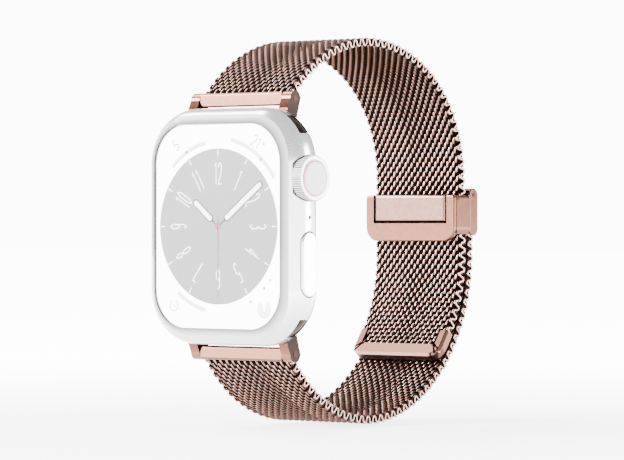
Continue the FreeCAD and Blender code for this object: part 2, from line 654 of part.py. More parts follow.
def folded_mesh(name, line, folds):
    """Lengths of mesh with a gap at each fold; prints where the folds' axes lie."""
    gap = dim("fold_gap") / 2
    step = line.length / folds
    for number in range(folds):
        begin = number * step + (gap if number else 0)
        end = (number + 1) * step - (gap if number < folds - 1 else 0)
        node(f"{name}_{number + 1}", solid(f"{name}_{number + 1}_length", mesh_slab(line, begin, end)))
        if number:
            print(f"{name} fold {number}", fold_place(line, number * step))


def fold_place(line, place):
    """A fold's axis as (y, z) in the frame, rounded for the record."""
    point = line.point(place)
    return round(point.y + dim("case_mid"), 3), round(point.z, 3)


def end_cap(line, end):
    """The folded sheet cap on the tail's end: a band over both faces and wings over both edges."""
    half, thick = dim("mesh_width") / 2 + 0.05, dim("mesh_thick") / 2 + 0.05
    sheet_thick, wing = dim("cap_sheet"), dim("cap_wing_width")
    begin, long_begin = end - dim("cap_band"), end - dim("cap_wing")
    skins = []
    for low, high in ((-thick - sheet_thick, -thick), (thick, thick + sheet_thick)):
        skins.append(line.slab(begin, end + 0.05, low, high, -half - sheet_thick, half + sheet_thick))
        for hand in (-1, 1):
            x = sorted((hand * (half + sheet_thick), hand * (half - wing)))
            skins.append(line.slab(long_begin, end + 0.05, low, high, *x))
    for hand in (-1, 1):
        x = sorted((hand * (half + sheet_thick), hand * half))
        skins.append(line.slab(long_begin, end + 0.05, -thick - sheet_thick, thick + sheet_thick, *x))
    skins.append(line.slab(end + 0.05, end + 0.05 + sheet_thick, -thick - sheet_thick, thick + sheet_thick,
                           -half - sheet_thick, half + sheet_thick))
    return skins[0].multiFuse(skins[1:]).removeSplitter()


def make_straps():
    upper = strap_line(dim("upper_heading"), dim("upper_bend_radius"), dim("upper_bend_turn"),
                       dim("inner_layer"), 1)
    upper.add(upper.end[1] - dim("clasp_high") - 0.3, None)
    folded_mesh("upper_mesh", upper, UPPER_FOLDS)
    print("upper fold at the clasp", fold_place(upper, upper.length))

    lower = strap_line(dim("lower_heading"), dim("lower_bend_radius"), dim("lower_bend_turn"),
                       dim("outer_layer"), -1)
    lower.add(lower.end[1] + dim("cover_pin_z") - 0.9, None)
    folded_mesh("lower_mesh", lower, LOWER_FOLDS)


def tail_line():
    """The tail's centre line from the clasp's upper end down inside the lower strap, where it leaves
    the clasp, and where the mesh ends; a short run past that carries the end cap."""
    line = StrapLine(dim("inner_layer"), dim("clasp_high") - 0.2, -90, 1)
    line.add(dim("clasp_high") - 0.2 - dim("clasp_low"), None)
    leaves = line.length
    line.add(dim("tail_run"), None)
    line.bend(dim("tail_bend_radius"), math.degrees(dim("tail_length") / dim("tail_bend_radius")))
    end = line.length
    line.add(2 * dim("cap_sheet"), None)
    return line, leaves, end


def make_tail():
    line, leaves, end = tail_line()
    fold = leaves + dim("tail_split")
    gap = dim("fold_gap") / 2
    node("tail_mesh_1", solid("tail_first_length", mesh_slab(line, 0, fold - gap)))
    node("tail_mesh_2", solid("tail_second_length", mesh_slab(line, fold + gap, end)))
    node("tail_end_cap", solid("tail_cap", end_cap(line, end)))
    print("tail fold", fold_place(line, fold))


# Clasp ------------------------------------------------------------------------------------------------

def clasp_body():
    """Window frame, side walls and floor of the clasp that is clamped on the upper strap."""
    z = ("clasp_low", "clasp_high")
    across = both("2 * clasp_half")
    blank = block("clasp_blank", across, ("frame_front", "floor_out"), z)
    low_corners = rounded("clasp_low_corners", blank, dim("clasp_low_corner"), runs_along(Vector(0, 1, 0)),
                          lambda edge: edge.CenterOfMass.z < dim("clasp_low") + 1)
    high_corners = rounded("clasp_high_corners", low_corners, dim("clasp_high_corner"),
                           runs_along(Vector(0, 1, 0)),
                           lambda edge: edge.CenterOfMass.z > dim("clasp_high") - 1)
    front = dim("frame_front") + dim("case_mid")
    soft = rounded("clasp_softened", high_corners, dim("clasp_soft"), lies_across(Vector(0, 1, 0), front))
    tunnel = block("clasp_tunnel", both("2 * (clasp_half - clasp_wall)"),
                   ("frame_front + frame_plate", "floor_in"), ("clasp_low - 3", "clasp_high + 3"))
    window = block("clasp_window", both("2 * window_half"), ("frame_front - 2", "frame_front + 2"),
                   ("window_low", "clasp_high + 2"))
    seam_y = ("frame_front + seam_front", "frame_front + seam_front + seam_width")
    seam_z = ("clasp_low + 1", "clasp_high + 1")
    seams = [
        block("right_seam", ("clasp_half - seam_depth", "clasp_half + 1"), seam_y, seam_z),
        block("left_seam", ("-clasp_half - 1", "-clasp_half + seam_depth"), seam_y, seam_z),
    ]
    pin_hole = rod("lever_pin_hole", "x", "lever_pin_radius + 0.02", ("-12", "12"), "lever_pin_y", "lever_pin_z")
    pockets = [rod(f"magnet_hole_{number}", "y", "magnet_radius + 0.03", ("floor_in - 1", "floor_out + 1"),
                   place, "magnet_z")
               for number, place in enumerate(MAGNET_PLACES, start=1)]
    return cut("clasp_shell", soft, tunnel, window, pin_hole, *seams, *pockets)


def clamp_lever():
    """The flap in the window: its nose grips the mesh, its bevelled lower edge takes a fingernail."""
    across = both("2 * (window_half - lever_gap)")
    front = "frame_front - lever_rise"
    plate = block("lever_blank", across, (front, f"{front} + lever_plate"),
                  ("window_low + lever_gap", "clasp_high"))
    face = dim("frame_front") - dim("lever_rise") + dim("case_mid")
    bevelled = rounded("lever_bevelled", plate, dim("lever_bevel"), lies_across(Vector(0, 1, 0), face))
    knuckle = rod("lever_round", "x", "lever_knuckle", across, "lever_pin_y", "lever_pin_z")
    nose = block("nose", both("lever_nose"), ("frame_front + 0.7", "inner_layer - mesh_thick / 2 - 0.1"),
                 ("lever_pin_z - 1.9", "lever_pin_z - 0.9"))
    hole = rod("lever_hole", "x", "lever_pin_radius + 0.04", ("-12", "12"), "lever_pin_y", "lever_pin_z")
    return cut("lever", fuse("lever_form", bevelled, knuckle, nose), hole)


def clasp_cover():
    """The outer plate with two cheeks that turn on the cover pin and snap against the clasp body."""
    across = both("2 * clasp_half")
    high = "cover_pin_z + cover_ear"
    blank = block("cover_block", across, ("cover_front", "cover_plate_out"), ("cover_low", high))
    ends = rounded("cover_ends", blank, dim("cover_end"), runs_along(Vector(1, 0, 0)))
    soft = rounded("cover_softened", ends, dim("cover_soft"), lies_across(Vector(1, 0, 0)))
    room = block("cover_room", both("2 * (clasp_half - clasp_wall)"), ("cover_front - 1", "cover_plate_in"),
                 ("cover_low - 3", "cover_pin_z + 1.0"))
    hole = rod("cover_hole", "x", "cover_pin_radius + 0.04", ("-12", "12"), "cover_pin_y", "cover_pin_z")
    return cut("cover_shell", soft, room, hole)


def make_clasp():
    node("clasp_body", clasp_body())
    magnets = [rod(f"clasp_magnet_{number}", "y", "magnet_radius", ("floor_in + 0.05", "floor_out - 0.05"),
                   place, "magnet_z")
               for number, place in enumerate(MAGNET_PLACES, start=1)]
    node("clasp_magnets", fuse("magnets", *magnets))
    node("clamp_lever", clamp_lever())
    node("lever_pin", rod("lever_axle", "x", "lever_pin_radius", both("2 * clasp_half - 0.1"), "lever_pin_y",
                          "lever_pin_z"))
    node("clasp_cover", clasp_cover())
    node("cover_pin", rod("cover_axle", "x", "cover_pin_radius", both("2 * clasp_half + 0.1"), "cover_pin_y",
                          "cover_pin_z"))
    barrel = rod("cover_round", "x", "cover_barrel", both("2 * clasp_half - 1.1"), "cover_pin_y", "cover_pin_z")
    bore = rod("cover_barrel_bore", "x", "cover_pin_radius + 0.01", ("-12", "12"), "cover_pin_y", "cover_pin_z")
    node("cover_end_bar", cut("cover_bar", barrel, bore))


def export():
    """Checks every object of the document, then writes each node's own file."""
    doc.recompute()
    broken = [obj.Name for obj in doc.Objects if {"Invalid", "Error"} & set(obj.State)]
    bad = [obj.Label for obj in nodes if obj.Shape.isNull() or not obj.Shape.isValid() or not obj.Shape.Solids]
    if broken or bad:
        raise RuntimeError(f"failed objects {broken}, bad shapes {bad}")
    os.makedirs("parts", exist_ok=True)
    for obj in nodes:
        obj.Shape.exportStep(f"parts/{obj.Label}.step")
    print(len(nodes), "nodes")


make_case()
make_crown()
make_buttons()
make_lugs()
make_straps()
make_tail()
make_clasp()
export()
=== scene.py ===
import math

import bmesh
import bpy
import numpy as np
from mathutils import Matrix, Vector


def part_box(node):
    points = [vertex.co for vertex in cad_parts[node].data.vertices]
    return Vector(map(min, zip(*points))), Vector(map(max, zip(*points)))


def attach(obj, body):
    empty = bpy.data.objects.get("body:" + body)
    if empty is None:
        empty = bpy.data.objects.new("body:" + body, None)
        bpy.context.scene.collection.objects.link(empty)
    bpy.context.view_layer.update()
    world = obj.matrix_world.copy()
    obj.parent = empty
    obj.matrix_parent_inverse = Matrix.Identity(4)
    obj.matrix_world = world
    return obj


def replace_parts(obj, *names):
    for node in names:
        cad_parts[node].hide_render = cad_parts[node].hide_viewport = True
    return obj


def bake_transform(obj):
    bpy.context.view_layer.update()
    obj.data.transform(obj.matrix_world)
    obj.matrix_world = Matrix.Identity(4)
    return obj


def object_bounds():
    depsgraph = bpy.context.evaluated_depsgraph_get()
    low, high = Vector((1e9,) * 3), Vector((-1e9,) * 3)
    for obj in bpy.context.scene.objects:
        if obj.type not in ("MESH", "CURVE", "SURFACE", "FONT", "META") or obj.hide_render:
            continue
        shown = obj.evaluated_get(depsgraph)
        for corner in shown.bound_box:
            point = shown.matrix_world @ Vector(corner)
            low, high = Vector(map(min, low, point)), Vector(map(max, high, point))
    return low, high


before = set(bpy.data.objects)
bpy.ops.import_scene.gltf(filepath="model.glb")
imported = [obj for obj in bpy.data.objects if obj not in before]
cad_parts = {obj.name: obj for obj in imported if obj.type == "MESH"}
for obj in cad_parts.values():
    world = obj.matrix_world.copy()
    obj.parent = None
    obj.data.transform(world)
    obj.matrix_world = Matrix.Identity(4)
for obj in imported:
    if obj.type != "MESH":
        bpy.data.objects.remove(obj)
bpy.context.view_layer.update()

# A smartwatch on a rose-gold woven-mesh loop band. Lengths in this script are millimetres, in the
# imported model's frame: +Z towards 12 o'clock, the face looks along -Y, the crown is on +X, and the
# origin is where the back crystal rests on the wrist. MM turns them into metres for Blender.
MM = 0.001
CASE_MID = -5.5
SCREEN_WIDTH, SCREEN_HEIGHT, SCREEN_CORNER = 31.3, 38.5, 7.4


# Objects and nodes -----------------------------------------------------------------------------------

def linked(name, data):
    """A new object with its data, in the scene."""
    obj = bpy.data.objects.new(name, data)
    bpy.context.scene.collection.objects.link(obj)
    return obj


def from_bmesh(name, form, material):
    """An object in the scene from a bmesh, which it frees."""
    data = bpy.data.meshes.new(name)
    form.to_mesh(data)
    form.free()
    data.materials.append(material)
    return linked(name, data)


def new_material(name):
    """A material, its node tree and its shader."""
    material = bpy.data.materials.new(name)
    material.use_nodes = True
    return material, material.node_tree, shader_of(material)


def shader_of(material):
    return material.node_tree.nodes["Principled BSDF"]


def set_sockets(shader, **sockets):
    """Sets shader sockets, named with underscores for spaces."""
    for socket, value in sockets.items():
        shader.inputs[socket.replace("_", " ")].default_value = value


def coordinates(tree, output):
    return tree.nodes.new("ShaderNodeTexCoord").outputs[output]


def separated(tree, vector):
    """The outputs X, Y and Z of a vector."""
    split = tree.nodes.new("ShaderNodeSeparateXYZ")
    tree.links.new(vector, split.inputs["Vector"])
    return split.outputs


def computed(tree, operation, *values, kind="Math", output="Value"):
    """One output of a math node, whose inputs are numbers, vectors or other nodes' outputs."""
    node = tree.nodes.new("ShaderNode" + kind)
    node.operation = operation
    for socket, value in zip(node.inputs, values):
        if isinstance(value, bpy.types.NodeSocket):
            tree.links.new(value, socket)
        else:
            socket.default_value = value
    return node.outputs[output]


def ranged(tree, value, begin, end, first, last, smooth=False):
    """A value that goes from first to last while another goes from begin to end."""
    node = tree.nodes.new("ShaderNodeMapRange")
    node.interpolation_type = "SMOOTHSTEP" if smooth else "LINEAR"
    tree.links.new(value, node.inputs["Value"])
    for socket, setting in zip(("From Min", "From Max", "To Min", "To Max"), (begin, end, first, last)):
        node.inputs[socket].default_value = setting
    return node.outputs["Result"]


# Camera and stage ------------------------------------------------------------------------------------

AZIMUTH, ELEVATION = 41.0, 0.0
CAMERA_DISTANCE = 690.0
FRAME_WIDTH = 624
FOCAL_PIXELS = 5.27 * CAMERA_DISTANCE
SENSOR_WIDTH = 36.0
AIM = Vector((0, CASE_MID + 0.95, 0))
AIM_LEFT, AIM_UP = 76.0, 3.5
ROOM_LIGHT, BACK_LIGHT, FLOOR_LIGHT = 0.9, 12.0, 4.0
BACK_BEGIN, BACK_FULL = 0.91, 0.985
FLOOR_SIZE, FLOOR_GAP, FLOOR_FADE = 8000, 0.5, 400
LIGHT_TARGET = Vector((0, 15, 0))


def make_camera():
    """Looks from the crown side; the case sits left of the middle by turning the camera."""
    azimuth, elevation = math.radians(AZIMUTH), math.radians(ELEVATION)
    back = Vector((math.sin(azimuth) * math.cos(elevation), -math.cos(azimuth) * math.cos(elevation),
                   math.sin(elevation)))
    right = Vector((math.cos(azimuth), math.sin(azimuth), 0))
    up = back.cross(right)
    data = bpy.data.cameras.new("camera")
    data.sensor_width = SENSOR_WIDTH
    data.lens = FOCAL_PIXELS / FRAME_WIDTH * SENSOR_WIDTH
    data.clip_end = 50
    camera = linked("camera", data)
    camera.location = (AIM + back * CAMERA_DISTANCE) * MM
    forward = -back + right * (AIM_LEFT / FOCAL_PIXELS) - up * (AIM_UP / FOCAL_PIXELS)
    camera.rotation_euler = forward.to_track_quat("-Z", "Y").to_euler()
    bpy.context.scene.camera = camera


def area_light(name, place, size, power):
    """A soft rectangular light that faces the watch."""
    data = bpy.data.lights.new(name, "AREA")
    data.shape = "RECTANGLE"
    data.size, data.size_y = size[0] * MM, size[1] * MM
    data.energy = power
    light = linked(name, data)
    light.location = Vector(place) * MM
    light.rotation_euler = (LIGHT_TARGET - Vector(place)).to_track_quat("-Z", "Y").to_euler()


def make_world():
    """A soft grey room with one wide bright end, which the main camera faces. The end's edge is given
    by cosines of the angle from its middle."""
    world = bpy.data.worlds.new("studio")
    bpy.context.scene.world = world
    world.use_nodes = True
    tree = world.node_tree
    azimuth = math.radians(AZIMUTH)
    end = (-math.sin(azimuth), math.cos(azimuth), 0)
    along = computed(tree, "DOT_PRODUCT", coordinates(tree, "Generated"), end, kind="VectorMath")
    background = tree.nodes["Background"]
    light = ranged(tree, along, BACK_BEGIN, BACK_FULL, ROOM_LIGHT, BACK_LIGHT, smooth=True)
    tree.links.new(light, background.inputs["Strength"])
    background.inputs["Color"].default_value = (1, 1, 1, 1)


def floor_paint():
    """Pale paint that brightens away from the watch, so that the floor runs into the room's end."""
    material, tree, shader = new_material("floor_paint")
    away = computed(tree, "LENGTH", coordinates(tree, "Object"), kind="VectorMath")
    glow = ranged(tree, away, 0.0, FLOOR_FADE * MM, FLOOR_LIGHT, BACK_LIGHT, smooth=True)
    tree.links.new(glow, shader.inputs["Emission Strength"])
    set_sockets(shader, Base_Color=(0.85, 0.85, 0.85, 1), Emission_Color=(1, 1, 1, 1), Roughness=0.8,
                Specular_IOR_Level=0.1)
    return material


def make_stage():
    """A pale floor just under the band, the room, and three soft lights."""
    floor_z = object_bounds()[0][2] - FLOOR_GAP * MM
    bpy.ops.mesh.primitive_plane_add(size=FLOOR_SIZE * MM, location=(0, 0, floor_z))
    floor = bpy.context.object
    floor.name = "floor"
    floor.data.materials.append(floor_paint())
    make_world()
    area_light("front", (-520, -560, 260), (420, 420), 24)
    area_light("top", (-520, -20, 600), (420, 420), 8)
    area_light("side", (560, 480, 120), (300, 420), 7)


# Materials -------------------------------------------------------------------------------------------

NOISE_DETAIL, NOISE_SPREAD = 4.0, (0.3, 0.7)
RELIEF = 0.02
# Parts of a surface's normal, and heights, between which the painted shades of shaded() set in or fade.
SIDE_FACING, DOWN_FACING = (0.75, 0.98), (0.05, 0.6)
CASE_SHADOW = (19.5, 24.5)
BORDER_WIDTH, BORDER_EDGE = 1.5, 0.02


def textured(name, colours, metallic, roughness, scale, bump=0.0, **sockets):
    """A material with fine noise in its colour, roughness and surface, in object coordinates."""
    material, tree, shader = new_material(name)
    link = tree.links.new
    noise = tree.nodes.new("ShaderNodeTexNoise")
    noise.inputs["Scale"].default_value = scale
    noise.inputs["Detail"].default_value = NOISE_DETAIL
    ramp = tree.nodes.new("ShaderNodeValToRGB")
    for element, position, colour in zip(ramp.color_ramp.elements, NOISE_SPREAD, colours):
        element.position = position
        element.color = (*colour, 1)
    link(coordinates(tree, "Object"), noise.inputs["Vector"])
    link(noise.outputs["Fac"], ramp.inputs["Fac"])
    link(ramp.outputs["Color"], shader.inputs["Base Color"])
    link(ranged(tree, noise.outputs["Fac"], 0, 1, *roughness), shader.inputs["Roughness"])
    if bump:
        relief = tree.nodes.new("ShaderNodeBump")
        relief.inputs["Strength"].default_value = bump
        relief.inputs["Distance"].default_value = RELIEF * MM
        link(noise.outputs["Fac"], relief.inputs["Height"])
        link(relief.outputs["Normal"], shader.inputs["Normal"])
    set_sockets(shader, Metallic=metallic, **sockets)
    return material


def darkened(material, factor):
    """A textured material with its colour multiplied by a factor that a node gives."""
    tree, base = material.node_tree, shader_of(material).inputs["Base Color"]
    scaled = computed(tree, "MULTIPLY", base.links[0].from_socket, factor, kind="VectorMath", output="Vector")
    tree.links.new(scaled, base)
    return material


def shaded(material, side=1.0, below=1.0, near_case=1.0):
    """Paints shade into a material's colour where its surface faces along X, where it faces down, and near
    the case.
    """
    tree = material.node_tree
    sideways = computed(tree, "ABSOLUTE", separated(tree, coordinates(tree, "Normal"))["X"])
    down = computed(tree, "MULTIPLY", separated(tree, coordinates(tree, "Normal"))["Z"], -1.0)
    height = computed(tree, "ABSOLUTE", separated(tree, coordinates(tree, "Object"))["Z"])
    near, far = CASE_SHADOW
    factor = computed(tree, "MULTIPLY", ranged(tree, sideways, *SIDE_FACING, 1.0, side),
                      ranged(tree, down, *DOWN_FACING, 1.0, below))
    factor = computed(tree, "MULTIPLY", factor, ranged(tree, height, near * MM, far * MM, near_case, 1.0))
    return darkened(material, factor)


def darker_rim(material, centre, inner, outer, rim):
    """Paints shade into a material's colour away from an axis along X through a centre, between two radii."""
    tree = material.node_tree
    place = computed(tree, "SUBTRACT", coordinates(tree, "Object"), Vector(centre) * MM, kind="VectorMath",
                     output="Vector")
    place = computed(tree, "MULTIPLY", place, (0, 1, 1), kind="VectorMath", output="Vector")
    away = computed(tree, "LENGTH", place, kind="VectorMath")
    return darkened(material, ranged(tree, away, inner * MM, outer * MM, 1.0, rim))


def outline_distance(tree, width, height, corner):
    """The distance from a round-cornered outline facing Y, about the case's centre, in metres; less
    than zero inside it."""
    place = separated(tree, coordinates(tree, "Object"))
    squares = []
    for axis, size in (("X", width), ("Z", height)):
        past = computed(tree, "SUBTRACT", computed(tree, "ABSOLUTE", place[axis]), (size / 2 - corner) * MM)
        squares.append(computed(tree, "POWER", computed(tree, "MAXIMUM", past, 0.0), 2.0))
    from_corner = computed(tree, "SQRT", computed(tree, "ADD", *squares))
    return computed(tree, "SUBTRACT", from_corner, corner * MM)


def crystal_glass():
    """Clear over the display; the curved border is painted grey as the curved glass's shade, lighter towards
    the case.
    """
    material, tree, shader = new_material("front_glass")
    distance = outline_distance(tree, SCREEN_WIDTH, SCREEN_HEIGHT, SCREEN_CORNER)
    ramp = tree.nodes.new("ShaderNodeValToRGB")
    ramp.color_ramp.elements[0].color = (0.07, 0.07, 0.072, 1)
    ramp.color_ramp.elements[1].color = (0.55, 0.55, 0.56, 1)
    link = tree.links.new
    link(ranged(tree, distance, 0.0, BORDER_WIDTH * MM, 0.0, 1.0), ramp.inputs["Fac"])
    link(ramp.outputs["Color"], shader.inputs["Base Color"])
    link(ranged(tree, distance, 0.0, BORDER_EDGE * MM, 0.05, 1.0), shader.inputs["Alpha"])
    set_sockets(shader, Roughness=0.04, IOR=1.45)
    return material


def lit(name, colour, strength):
    """Part of the lit display: it shines in one colour over a dark base."""
    material, _, shader = new_material(name)
    set_sockets(shader, Base_Color=(0.02, 0.02, 0.02, 1), Roughness=0.4, Emission_Color=(*colour, 1),
                Emission_Strength=strength)
    return material


ROSE = ((0.200, 0.088, 0.060), (0.212, 0.094, 0.065))
# A lighter copy of ROSE, painted light: the lever plate and the end cap's bevel.
ROSE_PAINTED_LIGHT = ((0.25, 0.14, 0.105), (0.27, 0.15, 0.115))
# The wires' own rose, with painted shade where they face down.
WIRE = shaded(textured("rose_wire", ((0.46, 0.28, 0.23), (0.60, 0.37, 0.31)), 1.0, (0.18, 0.28), 900,
                       Specular_Tint=(0.32, 0.26, 0.24, 1)), below=0.3)
# A near-black copy of the wire's rose: painted shade on the wires' flanks and on the middle of the end cap's
# outer edge.
WIRE_SHADE = textured("rose_wire_shade", ((0.022, 0.011, 0.008), (0.04, 0.02, 0.015)), 1.0, (0.3, 0.45), 900)
# Near black without gloss: the painted shadow inside the weave and behind the clasp window; it also draws the
# cap's dark seams.
CORE = textured("mesh_shadow", ((0.003, 0.0015, 0.001), (0.006, 0.003, 0.002)), 0.0, (0.8, 0.95), 900,
                Specular_IOR_Level=0.0)
# Polished rose gold with painted shade on faces along X and on faces that look down.
POLISHED = shaded(textured("rose_polished", ROSE, 1.0, (0.14, 0.18), 900), side=0.6, below=0.45)
# The clasp's lever plate: the lighter copy, with painted shade on faces along X and on its lower bevel.
LEVER = shaded(textured("rose_lever", ROSE_PAINTED_LIGHT, 1.0, (0.14, 0.18), 900), side=0.6, below=0.3)
# The connectors' ears: painted shade, nearly black on faces along X and darker towards the case.
EARS = shaded(textured("rose_ears", ROSE, 1.0, (0.14, 0.18), 900), side=0.045, below=0.8, near_case=0.14)
# A darker copy of the rose gold for the end cap's faces: painted shade.
CAP = textured("rose_cap", ((0.105, 0.046, 0.031), (0.115, 0.05, 0.034)), 1.0, (0.16, 0.22), 900)
# A lighter copy for the end cap's wrist-side bevel: a painted highlight.
CAP_RIM_HIGHLIGHT = textured("rose_cap_rim_highlight", ROSE_PAINTED_LIGHT, 1.0, (0.16, 0.22), 900)
# Near black, so the pins' ends show as dark dots: painted shade.
PIN = textured("pin_steel_painted_shade", ((0.02, 0.01, 0.008), (0.03, 0.015, 0.012)), 1.0, (0.3, 0.4), 900)
# Painted shade on the crown wheel's knurled edge, darker away from its axis.
KNURL = darker_rim(
    textured("knurled_aluminium", ((0.55, 0.55, 0.56), (0.61, 0.61, 0.62)), 0.9, (0.22, 0.3), 1500, 0.04),
    centre=(0, CASE_MID, 9.0), inner=3.95, outer=4.2, rim=0.3)
# The case's aluminium, with painted shade where it faces down.
SATIN = shaded(
    textured("satin_aluminium", ((0.88, 0.88, 0.89), (0.93, 0.93, 0.94)), 0.9, (0.2, 0.26), 1500, 0.04),
    below=0.65)
GLASS = crystal_glass()
SCREEN = lit("screen_white", (1, 1, 1), 14)
DIAL_WHITE = lit("dial_white", (1, 1, 1), 8)
DISC = lit("dial_grey", (1, 1, 1), 1.3)
OUTLINE = lit("hand_outline", (1, 1, 1), 0.2)
FAINT = lit("faint_grey", (1, 1, 1), 5.5)
PINK = lit("second_hand_pink", (1, 0.26, 0.36), 1.7)
RUBBER = textured("seal_rubber", ((0.02, 0.02, 0.02), (0.05, 0.05, 0.05)), 0.0, (0.6, 0.8), 1200, 0.2)
CERAMIC = textured("pale_ceramic", ((0.52, 0.54, 0.53), (0.60, 0.62, 0.61)), 0.0, (0.12, 0.2), 700, 0.02)
DARK_CERAMIC = textured("dark_ceramic", ((0.03, 0.03, 0.035), (0.06, 0.06, 0.065)), 0.0, (0.08, 0.16), 700,
                        0.02)
ACCENT = textured("pink_enamel", ((0.60, 0.20, 0.25), (0.68, 0.26, 0.31)), 0.0, (0.25, 0.35), 900, 0.02)
BOARD = textured("solder_mask", ((0.02, 0.09, 0.05), (0.03, 0.14, 0.08)), 0.0, (0.3, 0.5), 900, 0.1)
POLYMER = textured("black_polymer", ((0.02, 0.02, 0.02), (0.04, 0.04, 0.04)), 0.0, (0.4, 0.6), 900, 0.1)
STEEL = textured("plain_steel", ((0.5, 0.5, 0.52), (0.6, 0.6, 0.62)), 1.0, (0.2, 0.35), 900, 0.1)
BRASS = textured("turned_brass", ((0.65, 0.48, 0.22), (0.75, 0.58, 0.3)), 1.0, (0.2, 0.35), 900, 0.1)
COPPER = textured("enamelled_copper", ((0.6, 0.26, 0.12), (0.72, 0.36, 0.18)), 1.0, (0.25, 0.4), 900, 0.1)
FOIL = textured("battery_foil", ((0.25, 0.25, 0.27), (0.33, 0.33, 0.35)), 0.8, (0.3, 0.5), 400, 0.2)
FILM = textured("flex_film", ((0.4, 0.2, 0.06), (0.5, 0.27, 0.09)), 0.0, (0.3, 0.45), 900, 0.05)

NODE_MATERIALS = {
    SATIN: ("case", "side_button", "upper_release_button", "lower_release_button"),
    KNURL: ("crown_wheel",),
    GLASS: ("front_crystal",),
    RUBBER: ("crystal_gasket", "back_gasket", "crown_seal", "side_button_seal", "release_pads"),
    CERAMIC: ("crown_cap",),
    DARK_CERAMIC: ("back_cover", "back_crystal"),
    ACCENT: ("crown_ring",),
    BOARD: ("logic_board", "sensor_board"),
    POLYMER: ("speaker",),
    STEEL: ("haptic_housing", "haptic_mass", "crown_stem", "crown_plunger", "crown_switch",
            "side_button_switch", "microphone", "alignment_magnet", "clasp_magnets"),
    BRASS: ("crown_bush",),
    COPPER: ("charging_coil",),
    FOIL: ("battery",),
    FILM: ("display_flex",),
    POLISHED: ("upper_end_bar", "lower_end_bar", "clasp_body", "clasp_cover", "cover_end_bar",
               "tail_end_cap"),
    LEVER: ("clamp_lever",),
    EARS: ("upper_connector", "lower_connector"),
    PIN: ("upper_lug_pin", "lower_lug_pin", "lever_pin", "cover_pin"),
}


def paint_nodes():
    """Gives every CAD node its material."""
    for material, names in NODE_MATERIALS.items():
        for name in names:
            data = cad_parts[name].data
            data.materials.clear()
            data.materials.append(material)


# Strap centre lines ----------------------------------------------------------------------------------

LUG_Y, LUG_Z = 3.6 + CASE_MID, 24.1
MESH_LEAD, MESH_SHIFT = 1.75, 0.35
MESH_WIDTH, MESH_THICK = 21.8, 1.75
CLASP_HIGH, CLASP_LOW, CLASP_GAP = 6.35, -2.95, 0.3
COVER_PIN_Z, COVER_BAR = 6.3, 0.9
INNER_LAYER, OUTER_LAYER = 57.55 + CASE_MID, 60.15 + CASE_MID
UPPER_FOLDS, LOWER_FOLDS = 4, 5
TAIL_RUN, TAIL_RADIUS, TAIL_LENGTH, TAIL_SPLIT = 2.6, 30.0, 22.5, 8.0


class StrapLine:
    """A strap's centre line in the Y-Z plane: tangent bends and runs, drawn with Z away from the
    watch's centre, so that side -1 mirrors it for the lower strap. Headings are degrees from +Y."""

    def __init__(self, y, z, heading, side):
        self.side = side
        self.length = 0.0
        self.pieces = []
        self.end = (y, z, heading)

    def add(self, length, radius):
        """Adds a bend of a radius, or a straight run where the radius is None."""
        self.pieces.append((self.length, radius, self.end))
        self.length += length
        y, z, angle = self.state(np.array([self.length]))
        self.end = (y[0], z[0], math.degrees(angle[0]))
        return self

    def bend(self, radius, turn):
        return self.add(radius * math.radians(turn), radius)

    def state(self, place):
        """y, z and heading in radians at an array of distances along the line."""
        y, z, angle = (np.zeros_like(place) for _ in range(3))
        for begin, radius, (y0, z0, heading) in self.pieces:
            here = (place >= begin - 1e-9) if begin else np.ones_like(place, bool)
            along, first = place[here] - begin, math.radians(heading)
            if radius is None:
                y[here], z[here] = y0 + along * math.cos(first), z0 + along * math.sin(first)
                angle[here] = first
            else:
                angle[here] = first - along / radius
                y[here] = y0 + radius * (math.sin(first) - np.sin(angle[here]))
                z[here] = z0 + radius * (np.cos(angle[here]) - math.cos(first))
        return y, z, angle

    def points(self, x, place, out):
        """Points across, along and out from the line, away from the wrist; in metres."""
        y, z, angle = self.state(place)
        return np.stack([x, y - out * np.sin(angle), self.side * (z + out * np.cos(angle))], -1) * MM

    def point(self, place):
        return Vector(self.points(np.zeros(1), np.array([float(place)]), np.zeros(1))[0])


def strap_line(heading, radius, turn, layer, side):
    """A strap from its lug, round two bends, to where it runs straight into the clasp at y = layer."""
    angle = math.radians(heading)
    y = LUG_Y + MESH_LEAD * math.cos(angle) + MESH_SHIFT * math.sin(angle)
    z = LUG_Z + MESH_LEAD * math.sin(angle) - MESH_SHIFT * math.cos(angle)
    line = StrapLine(y, z, heading, side)
    line.bend(radius, turn)
    y, _, heading = line.end
    return line.bend((layer - y) / (1 + math.sin(math.radians(heading))), heading + 90)


UPPER = strap_line(heading=48.0, radius=31.9, turn=81.5, layer=INNER_LAYER, side=1)
UPPER.add(UPPER.end[1] - CLASP_HIGH - CLASP_GAP, None)
UPPER_END = UPPER.length
UPPER.add(CLASP_GAP + CLASP_HIGH - CLASP_LOW, None)
TAIL_BEGIN = UPPER.length
UPPER.add(TAIL_RUN, None)
UPPER.bend(TAIL_RADIUS, math.degrees(TAIL_LENGTH / TAIL_RADIUS))
LOWER = strap_line(heading=53.8, radius=29.5, turn=66.2, layer=OUTER_LAYER, side=-1)
LOWER.add(LOWER.end[1] + COVER_PIN_Z - COVER_BAR, None)


# Woven mesh ------------------------------------------------------------------------------------------

COIL_PITCH, ROW_STEP = 1.52, 0.98
WIRE_RADIUS, WIRE_SIDES = 0.28, 8
COIL_HALF_LENGTH, COIL_HALF_HEIGHT = 0.78, MESH_THICK / 2 - WIRE_RADIUS
COIL_ROUNDING, COIL_STEPS = 0.8, 14
COIL_INSET = 1.4 * WIRE_RADIUS
EDGE_ROUNDING, EDGE_STEPS = 2.6, 8
CORE_HALF_HEIGHT = 0.68
LIT_HEIGHT = 0.45
LUG_OVERLAP = 0.3
STRAP_REACH, CLASP_REACH = 5, 2


